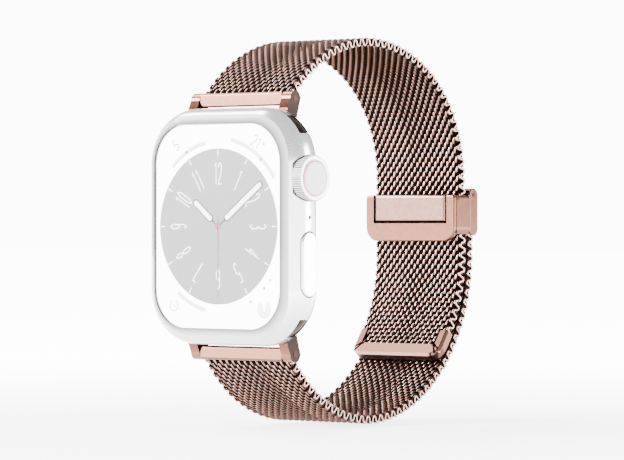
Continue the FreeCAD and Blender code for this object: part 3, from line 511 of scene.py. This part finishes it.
def lofted(tubes, rings, sides):
    """Quads and end faces over vertices numbered by tube, then ring, then side."""
    grid = np.arange(tubes * rings * sides).reshape(tubes, rings, sides)
    around = np.roll(grid, -1, axis=2)
    quads = np.stack([grid[:, :-1], around[:, :-1], around[:, 1:], grid[:, 1:]], -1).reshape(-1, 4)
    return quads, np.concatenate([grid[:, 0, ::-1], grid[:, -1]])


def tubes_along(centres, radius, sides):
    """Vertices, quads and end faces of round tubes along polylines of shape (count, points, 3)."""
    tangent = np.gradient(centres, axis=1)
    tangent /= np.linalg.norm(tangent, axis=2, keepdims=True)
    across = np.array([1.0, 0, 0]) - tangent * tangent[..., :1]
    across /= np.linalg.norm(across, axis=2, keepdims=True)
    other = np.cross(tangent, across)
    turn = np.arange(sides) * 2 * math.pi / sides
    cosine, sine = np.cos(turn)[:, None], np.sin(turn)[:, None]
    circle = (cosine * across[:, :, None] + sine * other[:, :, None]) * radius
    vertices = (centres[:, :, None] + circle).reshape(-1, 3)
    return vertices, *lofted(*centres.shape[:2], sides)


def core_plate(line, begin, end, half_width):
    """A dark plate between the coils, a painted shadow inside the weave, as one solid of a mesh object."""
    steps = 2 + int(end - begin)
    place = np.repeat(np.linspace(begin, end, steps), 4)
    x = np.tile(np.array([-1, 1, 1, -1]) * half_width, steps)
    out = np.tile(np.array([-1, -1, 1, 1]) * CORE_HALF_HEIGHT, steps)
    quads, caps = lofted(1, steps, 4)
    return line.points(x, place, out), [(quads, CORE), (caps, CORE)]


def mesh_object(name, solids):
    """One smooth-shaded object from solids, each its vertices and a list of (faces, material)."""
    vertices, faces, paints, offset = [], [], [], 0
    data = bpy.data.meshes.new(name)
    for points, groups in solids:
        vertices.append(points)
        for group, material in groups:
            if material.name not in data.materials:
                data.materials.append(material)
            faces += (group + offset).tolist()
            paints += [data.materials.find(material.name)] * len(group)
        offset += len(points)
    data.from_pydata(np.concatenate(vertices), [], faces)
    data.polygons.foreach_set("use_smooth", np.ones(len(faces), bool))
    data.polygons.foreach_set("material_index", paints)
    data.update()
    return linked(name, data)


def rounded_wave(angle, power):
    """A cosine and a sine flattened towards a rounded square."""
    cosine, sine = np.cos(angle), np.sin(angle)
    return np.sign(cosine) * np.abs(cosine) ** power, np.sign(sine) * np.abs(sine) ** power


def wires(line, paths):
    """A solid of a mesh object, for wires given as (x, place, out) paths: the outward side of each
    wire keeps the bright rose, its flanks get painted shade, a near-black copy of it."""
    vertices, quads, caps = tubes_along(paths, WIRE_RADIUS, WIRE_SIDES)
    across, _, height = np.abs(vertices[quads]).mean(1).T
    proud = np.maximum(height - COIL_HALF_HEIGHT, across - MESH_WIDTH / 2 + WIRE_RADIUS)
    lit_faces = proud > LIT_HEIGHT * WIRE_RADIUS
    groups = [(quads[lit_faces], WIRE), (quads[~lit_faces], WIRE_SHADE), (caps, WIRE_SHADE)]
    return line.points(*vertices.T), groups


def coil_paths(rows, side):
    """One coil across the strap for each row; neighbouring rows wind opposite ways."""
    reach = MESH_WIDTH / 2 - COIL_INSET
    x = np.linspace(-reach, reach, int(2 * reach / COIL_PITCH * COIL_STEPS))
    phase = np.where(rows % 2, -1, 1)[:, None] * math.pi / 2
    along, out = rounded_wave(-2 * math.pi * x / COIL_PITCH - phase, COIL_ROUNDING)
    along = np.where((out < 0) & (side < 0), -along, along)
    along = (rows[:, None] + 0.5) * ROW_STEP + along * COIL_HALF_LENGTH
    return np.stack([np.broadcast_to(x, along.shape), along, out * COIL_HALF_HEIGHT], -1)


def edge_paths(first, last):
    """The two edge wires, which snake up and down past the ends of the rows."""
    wave = np.linspace(first * math.pi, last * math.pi, (last - first) * EDGE_STEPS + 1)
    rise = np.tanh(EDGE_ROUNDING * np.cos(wave)) * COIL_HALF_HEIGHT
    edge = MESH_WIDTH / 2 - WIRE_RADIUS
    return np.stack([np.stack([np.full_like(wave, side * edge), wave / math.pi * ROW_STEP, rise], -1)
                     for side in (-1, 1)])


def woven(name, line, begin, end):
    """The coils, edge wires and core of a strap between two places along its line."""
    first, last = (math.ceil(place / ROW_STEP - 0.5) for place in (begin, end))
    return mesh_object(name, [wires(line, coil_paths(np.arange(first, last), line.side)),
                              wires(line, edge_paths(first, last)),
                              core_plate(line, begin, end, MESH_WIDTH / 2 - 2 * WIRE_RADIUS)])


def blended(piece, line, fold, reach):
    """Bakes a piece's placement into its mesh; the points it looks up a reach either side of the fold are not
    used.
    """
    line.point(fold - reach)
    line.point(fold + reach)
    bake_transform(piece)


def strap_pieces(strap, line, length, folds):
    """Pieces from the middle of one CAD length to the middle of the next, each across its fold.
    Returns the middle of the last CAD length, where they stop."""
    step = length / folds
    piece = woven(f"{strap}_weave_lug", line, -LUG_OVERLAP, step / 2)
    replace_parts(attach(piece, f"{strap}_strap_1"), f"{strap}_mesh_1")
    for number in range(1, folds):
        piece = woven(f"{strap}_weave_{number}", line, (number - 0.5) * step, (number + 0.5) * step)
        blended(piece, line, number * step, STRAP_REACH)
        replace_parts(piece, f"{strap}_mesh_{number + 1}")
    return (folds - 0.5) * step


def make_straps():
    """The two straps, the length inside the clasp and the tail. The last row of each stays clear of the
    cap and of the cover's bar."""
    upper_middle = strap_pieces("upper", UPPER, UPPER_END, UPPER_FOLDS)
    clasp_middle = (UPPER_END + TAIL_BEGIN) / 2
    piece = woven("clasp_weave", UPPER, upper_middle, clasp_middle)
    blended(piece, UPPER, UPPER_END, CLASP_REACH)
    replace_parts(piece, "tail_mesh_1")
    tail_fold = TAIL_BEGIN + TAIL_SPLIT
    tail_middle = (tail_fold + UPPER.length) / 2
    piece = woven("tail_weave_1", UPPER, clasp_middle, tail_middle)
    blended(piece, UPPER, tail_fold, STRAP_REACH)
    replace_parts(piece, "tail_mesh_2")
    piece = woven("tail_weave_2", UPPER, tail_middle, UPPER.length - ROW_STEP)
    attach(piece, "tail")
    lower_middle = strap_pieces("lower", LOWER, LOWER.length, LOWER_FOLDS)
    piece = woven("lower_weave_end", LOWER, lower_middle, LOWER.length - ROW_STEP)
    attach(piece, f"lower_strap_{LOWER_FOLDS}")


# End cap ---------------------------------------------------------------------------------------------

CAP_BAND, CAP_WING, CAP_WING_WIDTH, CAP_SHEET, CAP_CORNER, CAP_EDGE = 2.8, 6.0, 1.8, 0.25, 2.6, 0.45
CAP_HIGH = MESH_THICK / 2 + CAP_SHEET
CORNER_STEPS = 8
# Columns of faces along the cap: the wrist side's bevel, which gets a painted highlight, and the outer edge.
# The edge gets painted shade for a few stations each way from the middle.
RIM_COLUMN, END_COLUMN, END_STATIONS = 1, 2, 5
SEAM_WIDTH, RIM_LINE, SEAM_PROUD = 0.42, 0.2, 0.012
RIM_LINE_STATIONS = 8
# Points of the seams, as the distance from the middle and from the tail's end.
SEAM_FOOT = (8.9, CAP_BAND)
CORNER_SEAMS = ((10.3, 0.25), (10.7, 1.4))
WING_NOTCH = ((8.95, 5.3), (10.4, 4.3), (8.95, 3.3))


def cap_path():
    """Places along the cap's outer edge: (x, place, inward x, inward place, reach inwards)."""
    half, end = MESH_WIDTH / 2 + CAP_SHEET, UPPER.length + CAP_SHEET
    right = [(half, end - CAP_SHEET - CAP_WING, -1, 0, CAP_WING_WIDTH)]
    for step in range(CORNER_STEPS + 1):
        turn = math.radians(90 * step / CORNER_STEPS)
        right.append((half - CAP_CORNER * (1 - math.cos(turn)), end - CAP_CORNER * (1 - math.sin(turn)),
                      -math.cos(turn), -math.sin(turn),
                      CAP_WING_WIDTH + (CAP_BAND - CAP_WING_WIDTH) * step / CORNER_STEPS))
    return right + [(-x, place, -in_x, in_place, reach) for x, place, in_x, in_place, reach in right[::-1]]


def cap_profile(reach):
    """The folded sheet's section as (inward, out) points: two bevelled edges and a slot for the mesh."""
    inner = CAP_HIGH - CAP_SHEET
    return [(reach, -CAP_HIGH), (CAP_EDGE, -CAP_HIGH), (0, CAP_EDGE - CAP_HIGH), (0, CAP_HIGH - CAP_EDGE),
            (CAP_EDGE, CAP_HIGH), (reach, CAP_HIGH), (reach, inner), (CAP_SHEET, inner), (CAP_SHEET, -inner),
            (reach, -inner)]


def end_cap():
    """The folded sheet over the tail's end: a band with rounded corners and two wings."""
    rings = np.array([[(x + in_x * inward, place + in_place * inward, out)
                       for inward, out in cap_profile(reach)]
                      for x, place, in_x, in_place, reach in cap_path()])
    count, sides = rings.shape[:2]
    quads, ends = lofted(1, count, sides)
    station, column = np.divmod(np.arange(len(quads)), sides)
    rim = column == RIM_COLUMN
    underside = (column == END_COLUMN) & (np.abs(station - count // 2 + 1) < END_STATIONS)
    groups = [(quads[~rim & ~underside], CAP), (ends, CAP), (quads[rim], CAP_RIM_HIGHLIGHT),
              (quads[underside], WIRE_SHADE)]
    piece = mesh_object("folded_end_cap", [(UPPER.points(*rings.reshape(-1, 3).T), groups)])
    piece.data.polygons.foreach_set("use_smooth", np.zeros(len(piece.data.polygons), bool))
    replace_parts(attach(piece, "tail"), "tail_end_cap")


def cap_seams():
    """Dark lines on the cap: its snipped corners, a notch beside each wing, and the edge of one side."""
    def placed(points, side):
        return [(side * x, UPPER.length - back) for x, back in points]

    seams = []
    for side in (-1, 1):
        for corner in CORNER_SEAMS:
            seams += ribbon(placed((corner, SEAM_FOOT), side), SEAM_WIDTH)
        seams.append(np.array(placed(WING_NOTCH, side)))
    edge = [(x + in_x * CAP_EDGE, place + in_place * CAP_EDGE) for x, place, in_x, in_place, _ in cap_path()]
    seams += ribbon(edge[:RIM_LINE_STATIONS], RIM_LINE)
    points = np.array([(x, place, -CAP_HIGH - SEAM_PROUD) for seam in seams for x, place in seam])
    corners = iter(range(len(points)))
    data = bpy.data.meshes.new("cap_seams")
    data.from_pydata(UPPER.points(*points.T), [], [[next(corners) for _ in seam] for seam in seams])
    data.materials.append(CORE)
    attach(linked("cap_seams", data), "tail")


# Clasp details ---------------------------------------------------------------------------------------

CLASP_HALF, CLASP_FRONT = 11.35, 54.15 + CASE_MID
WINDOW_HALF, WINDOW_LOW, FRAME_PLATE = 9.3, 0.65, 0.9
# The plate of painted shadow behind the clasp window: its overlap of the window's edge, its thickness and its
# gap behind the frame plate.
SHADOW_PLATE_EDGE, SHADOW_PLATE_THICK, SHADOW_PLATE_GAP = 0.32, 0.12, 0.06
GROOVE_FRONT, GROOVE_BACK = 0.61, 0.79
GROOVE_INSETS = (0.14, 0.02)
GROOVE_BELOW, GROOVE_ABOVE = 1.6, 0.5


def boxes_object(name, spans, material, body):
    """One piece of plain blocks, each given by its low and high corners, with one material."""
    form = bmesh.new()
    for low, high in spans:
        low, high = Vector(low), Vector(high)
        for corner in bmesh.ops.create_cube(form, size=1.0)["verts"]:
            corner.co = [(middle + side * size) * MM for middle, side, size in
                         zip((low + high) / 2, corner.co, high - low)]
    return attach(from_bmesh(name, form, material), body)


def clasp_details():
    """A dark plate behind the window's edge, a painted shadow, and a dark strip in the groove of each side
    wall, painted shade.
    """
    front = CLASP_FRONT + FRAME_PLATE + SHADOW_PLATE_GAP
    back = front + SHADOW_PLATE_THICK
    inner, outer = WINDOW_HALF - SHADOW_PLATE_EDGE, WINDOW_HALF + SHADOW_PLATE_EDGE
    low, high = WINDOW_LOW - SHADOW_PLATE_EDGE, CLASP_HIGH - CLASP_GAP
    spans = [((-outer, front, low), (outer, back, WINDOW_LOW + 2 * SHADOW_PLATE_EDGE))]
    for side in (-1, 1):
        near, far = sorted((side * inner, side * outer))
        spans.append(((near, front, low), (far, back, high)))
        near, far = sorted(side * (CLASP_HALF - inset) for inset in GROOVE_INSETS)
        spans.append(((near, CLASP_FRONT + GROOVE_FRONT, CLASP_LOW + GROOVE_BELOW),
                      (far, CLASP_FRONT + GROOVE_BACK, CLASP_HIGH - GROOVE_ABOVE)))
    boxes_object("clasp_painted_shade", spans, CORE, "clasp")


# Display ---------------------------------------------------------------------------------------------

DIGITS = {
    "0": [[(0.5, 0), (0, 0.5), (0, 2.5), (0.5, 3), (1, 2.5), (1, 0.5), (0.5, 0)]],
    "1": [[(0.15, 2.55), (0.6, 3), (0.6, 0)]],
    "2": [[(0, 2.4), (0.15, 2.85), (0.5, 3), (0.9, 2.8), (1, 2.3), (0.9, 1.8), (0, 0), (1, 0)]],
    "3": [[(0, 2.6), (0.5, 3), (1, 2.6), (1, 1.9), (0.5, 1.55), (1, 1.2), (1, 0.4), (0.5, 0), (0, 0.4)]],
    "4": [[(0.75, 0), (0.75, 3), (0, 0.85), (1, 0.85)]],
    "5": [[(0.95, 3), (0.1, 3), (0.05, 1.6), (0.5, 1.85), (1, 1.4), (1, 0.45), (0.5, 0), (0, 0.4)]],
    "6": [[(0.9, 2.7), (0.5, 3), (0, 2.5), (0, 0.5), (0.5, 0), (1, 0.5), (1, 1.3), (0.5, 1.75), (0, 1.3)]],
    "7": [[(0, 3), (1, 3), (0.35, 0)]],
    "8": [[(0.5, 1.6), (0.05, 2), (0.05, 2.6), (0.5, 3), (0.95, 2.6), (0.95, 2), (0.5, 1.6), (0, 1.2),
           (0, 0.4), (0.5, 0), (1, 0.4), (1, 1.2), (0.5, 1.6)]],
    "9": [[(0.1, 0.3), (0.5, 0), (1, 0.5), (1, 2.5), (0.5, 3), (0, 2.5), (0, 1.7), (0.5, 1.25), (1, 1.7)]],
    "o": [[(0.25, 2.5), (0.5, 2.25), (0.75, 2.5), (0.5, 2.75), (0.25, 2.5)]],
}
DIGIT_STEP, DIGIT_TALL = 1.35, 3
# Arcs are (radius, begin, end), dots (x, z, radius) and hands (angle, near radius, far radius).
DISPLAY_FRONT = -4.38 + CASE_MID
PANEL_BEHIND, PANEL_EDGE, PANEL_STEPS = 0.2, 0.03, 12
DIAL_RADIUS = 14.75
TICK_NEAR, TICK_FAR = 13.4, 14.5
OUTER_ARCS, ARC_WIDTH = ((16.1, -45, -11), (16.6, 11, 57), (16.1, 191, 219)), 0.8
OUTER_DOTS = ((-7.9, 14.1, 0.35), (10.6, 12.5, 0.35), (13, -10, 0.25), (11.5, -11.5, 0.3), (8.2, -14.1, 0.3))
TIMER_PLACE, RINGS_PLACE = (-11.1, -15.1), (11.5, -15.5)
HANDS = ((-51, 2.0, 7.5), (53, 2.4, 13.4))
HAND_WIDTH, HAND_RIM, HAND_RIM_WIDTH = 0.95, 0.35, 1.5
STEM_LENGTH, STEM_WIDTH = 3, 0.35
SECOND_NEAR, SECOND_FAR, SECOND_WIDTH, SECOND_ANGLE, SECOND_HUB = -2.1, 14.6, 0.32, 180, 0.65


def ribbon(path, width):
    """A flat line of one width along (x, z) points, as one strip of quads."""
    points = np.array(path, float)
    closed = np.allclose(points[0], points[-1])
    steps = np.diff(points, axis=0)
    steps /= np.linalg.norm(steps, axis=1, keepdims=True)
    before = np.vstack([steps[-1:] if closed else steps[:1], steps])
    after = np.vstack([steps, steps[:1] if closed else steps[-1:]])
    mean = before + after
    mean /= np.maximum(np.linalg.norm(mean, axis=1, keepdims=True), 1e-6)
    side = np.stack([-mean[:, 1], mean[:, 0]], 1)
    stretch = 1 / np.maximum(np.sum(side * np.stack([-before[:, 1], before[:, 0]], 1), axis=1), 0.5)
    side *= (width / 2 * stretch)[:, None]
    left, right = points + side, points - side
    return [np.array([left[i], left[i + 1], right[i + 1], right[i]]) for i in range(len(points) - 1)]


def arc(radius, begin, end, steps=48):
    """Points on a circle; angles in degrees clockwise from 12."""
    turn = np.radians(np.linspace(begin, end, steps))
    return np.stack([radius * np.sin(turn), radius * np.cos(turn)], 1)


def dot(radius, corners):
    """A filled circle about the middle."""
    return arc(radius, 0, 360, corners + 1)[:-1]


def pill(near, far, width, angle):
    """A round-ended hand from radius near to far, pointing at an angle clockwise from 12."""
    round_end = arc(width / 2, -90, 90, 12)
    return turned(np.vstack([round_end + (0, far - width / 2), -round_end + (0, near + width / 2)]), angle)


def turned(points, angle, move=(0, 0)):
    """Points moved, then turned clockwise by an angle in degrees."""
    cosine, sine = math.cos(math.radians(angle)), math.sin(math.radians(angle))
    x, z = (np.asarray(points, float) + move).T
    return np.stack([x * cosine + z * sine, z * cosine - x * sine], 1)


def written(text, height, width, place, angle, line):
    """Digits as thin lines: centred at a radius, standing outwards at an angle clockwise from 12."""
    shapes = []
    span = (len(text) - 1) * DIGIT_STEP + 1
    for number, digit in enumerate(text):
        for stroke in DIGITS[digit]:
            points = np.array(stroke, float) + (number * DIGIT_STEP - span / 2, -DIGIT_TALL / 2)
            points *= (width, height / DIGIT_TALL)
            shapes += ribbon(turned(points, angle, (0, place)), line)
    return shapes


def flat(name, polygons, material, depth):
    """A flat drawing on the display, at a depth behind its front."""
    form = bmesh.new()
    for polygon in polygons:
        corners = [form.verts.new(Vector((x, DISPLAY_FRONT + depth, z)) * MM) for x, z in polygon]
        form.faces.new(corners)
    for face in form.faces:
        if face.normal.y > 0:
            face.normal_flip()
    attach(from_bmesh(name, form, material), "watch")


def screen_outline():
    """Points round the screen, anticlockwise from its right side."""
    corners = []
    for quarter, (x, z) in enumerate(((1, 1), (-1, 1), (-1, -1), (1, -1))):
        for step in range(PANEL_STEPS + 1):
            turn = math.radians(90 * (quarter + step / PANEL_STEPS))
            corners.append((x * (SCREEN_WIDTH / 2 - SCREEN_CORNER) + SCREEN_CORNER * math.cos(turn),
                            z * (SCREEN_HEIGHT / 2 - SCREEN_CORNER) + SCREEN_CORNER * math.sin(turn)))
    return corners


def screen_panel():
    """The panel behind the drawings, with rounded corners and a soft front edge."""
    form = bmesh.new()
    corners = screen_outline()
    front, back = DISPLAY_FRONT + PANEL_BEHIND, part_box("display_panel")[1][1] / MM
    rings = []
    for y, inset in ((front, PANEL_EDGE), (front + PANEL_EDGE, 0.0), (back, 0.0)):
        narrow, short = 1 - 2 * inset / SCREEN_WIDTH, 1 - 2 * inset / SCREEN_HEIGHT
        rings.append([form.verts.new(Vector((x * narrow, y, z * short)) * MM) for x, z in corners])
    form.faces.new(rings[0])
    form.faces.new(rings[-1][::-1])
    for near, far in zip(rings, rings[1:]):
        for i in range(len(corners)):
            j = (i + 1) % len(corners)
            form.faces.new((near[j], near[i], far[i], far[j]))
    bmesh.ops.recalc_face_normals(form, faces=form.faces)
    panel = from_bmesh("screen_panel", form, SCREEN)
    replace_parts(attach(panel, "watch"), "display_panel")


def hour_numbers():
    """Twelve thin numbers with a tick outside each."""
    shapes = []
    for hour in range(1, 13):
        angle = 30 * hour
        shapes += written(str(hour), height=4.0, width=0.78, place=10.0, angle=angle, line=0.19)
        shapes += ribbon(turned([(0, TICK_NEAR), (0, TICK_FAR)], angle), 0.2)
    return shapes


def outer_marks():
    """Small numbers, dots, a timer and three rings round the dial."""
    marks = written("5", height=2.2, width=0.9, place=18.7, angle=-34.5, line=0.22)
    marks += written("21o", height=2.2, width=0.85, place=18.4, angle=33.0, line=0.22)
    for x, z, radius in OUTER_DOTS:
        marks.append(dot(radius, 16) + (x, z))
    marks += ribbon(arc(0.95, 20, 340) + TIMER_PLACE, 0.2)
    marks += ribbon(np.array([(0, 0.5), (0, -0.1), (0.4, -0.1)]) + TIMER_PLACE, 0.18)
    for radius in (0.6, 1.05, 1.5):
        marks += ribbon(arc(radius, 30, 330) + RINGS_PLACE, 0.22)
    return marks


def make_hands():
    """The hour and minute hands, each a pale pill in a dark rim on a thin stem, and the second hand."""
    rims = [pill(near - HAND_RIM, far + HAND_RIM, HAND_RIM_WIDTH, angle) for angle, near, far in HANDS]
    stems = [pill(0, STEM_LENGTH, STEM_WIDTH, angle) for angle, _, _ in HANDS]
    flat("hand_outlines", rims + stems, OUTLINE, depth=0.08)
    faces = [pill(near, far, HAND_WIDTH, angle) for angle, near, far in HANDS]
    flat("hand_faces", faces, DIAL_WHITE, depth=0.05)
    second = [pill(SECOND_NEAR, SECOND_FAR, SECOND_WIDTH, SECOND_ANGLE), dot(SECOND_HUB, 24)]
    flat("second_hand", second, PINK, depth=0.02)


def make_display():
    """The white screen with a round grey dial, thin numbers, hands and faint outer drawings."""
    screen_panel()
    flat("dial_disc", [dot(DIAL_RADIUS, 96)], DISC, depth=0.16)
    flat("dial_numbers", hour_numbers(), DIAL_WHITE, depth=0.12)
    arcs = [quad for ends in OUTER_ARCS for quad in ribbon(arc(*ends), ARC_WIDTH)]
    flat("outer_arcs", arcs, FAINT, depth=0.12)
    flat("outer_marks", outer_marks(), DISC, depth=0.10)
    make_hands()


make_camera()
paint_nodes()
make_straps()
end_cap()
cap_seams()
clasp_details()
make_display()
make_stage()
